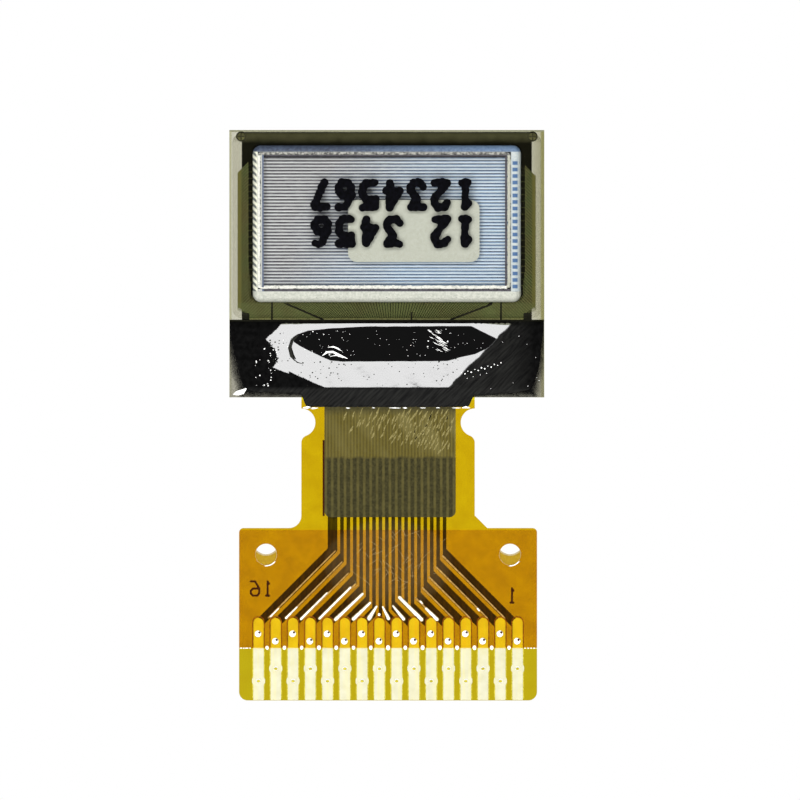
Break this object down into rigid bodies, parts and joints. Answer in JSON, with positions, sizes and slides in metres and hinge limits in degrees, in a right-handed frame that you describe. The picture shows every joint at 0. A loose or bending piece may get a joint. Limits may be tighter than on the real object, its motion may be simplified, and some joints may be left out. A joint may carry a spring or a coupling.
{
  "type": "small oled display module",
  "caption": "Small bare OLED panel, two glasses thick, with a glued driver die on its ledge and a flexible solder tail.",
  "frame": {"origin": "centre of the polarizer's front, the face that is looked at", "axes": "+Z from the viewing face to the back, +Y away from the solder tail, +X to the right seen from the back"},
  "size_m": [0.0126, 0.0228, 0.0012],
  "materials": {
    "polarizer_film": "gloss",
    "panel_glass": "clear",
    "cap_glass": "clear, with a frosted etched pocket",
    "seal_resin": "clear resin",
    "desiccant": "matt",
    "clear_conductor": "clear",
    "organic_film": "gloss",
    "cathode_metal": "bright",
    "track_metal": "satin",
    "silicon": "polished",
    "bond_film": "satin",
    "black_glue": "wet gloss",
    "amber_film": "gloss",
    "amber_cover": "gloss",
    "dark_cover": "satin",
    "gold_plated_copper": "bright plating"
  },
  "bodies": {
    "root": {"polarizer": "polarizer_film", "substrate_glass": "panel_glass", "cap_glass": "cap_glass", "seal_bead": "seal_resin", "desiccant_patch": "desiccant", "anode_columns": "clear_conductor", "organic_layer": "organic_film", "cathode_rows": "cathode_metal", "left_row_tracks": "track_metal", "right_row_tracks": "track_metal", "column_tracks": "track_metal", "input_tracks": "track_metal", "alignment_marks": "track_metal", "driver_die": "silicon", "die_bond_film": "bond_film", "tail_bond_film": "bond_film", "glue": "black_glue", "tail_base_film": "amber_film", "tail_front_cover": "amber_cover", "tail_back_cover": "amber_cover", "neck_cover": "dark_cover", "conductor_01": "gold_plated_copper", "conductor_02": "gold_plated_copper", "conductor_03": "gold_plated_copper", "conductor_04": "gold_plated_copper", "conductor_05": "gold_plated_copper", "conductor_06": "gold_plated_copper", "conductor_07": "gold_plated_copper", "conductor_08": "gold_plated_copper", "conductor_09": "gold_plated_copper", "conductor_10": "gold_plated_copper", "conductor_11": "gold_plated_copper", "conductor_12": "gold_plated_copper", "conductor_13": "gold_plated_copper", "conductor_14": "gold_plated_copper", "conductor_15": "gold_plated_copper", "conductor_16": "gold_plated_copper"}
  },
  "joints": []
}
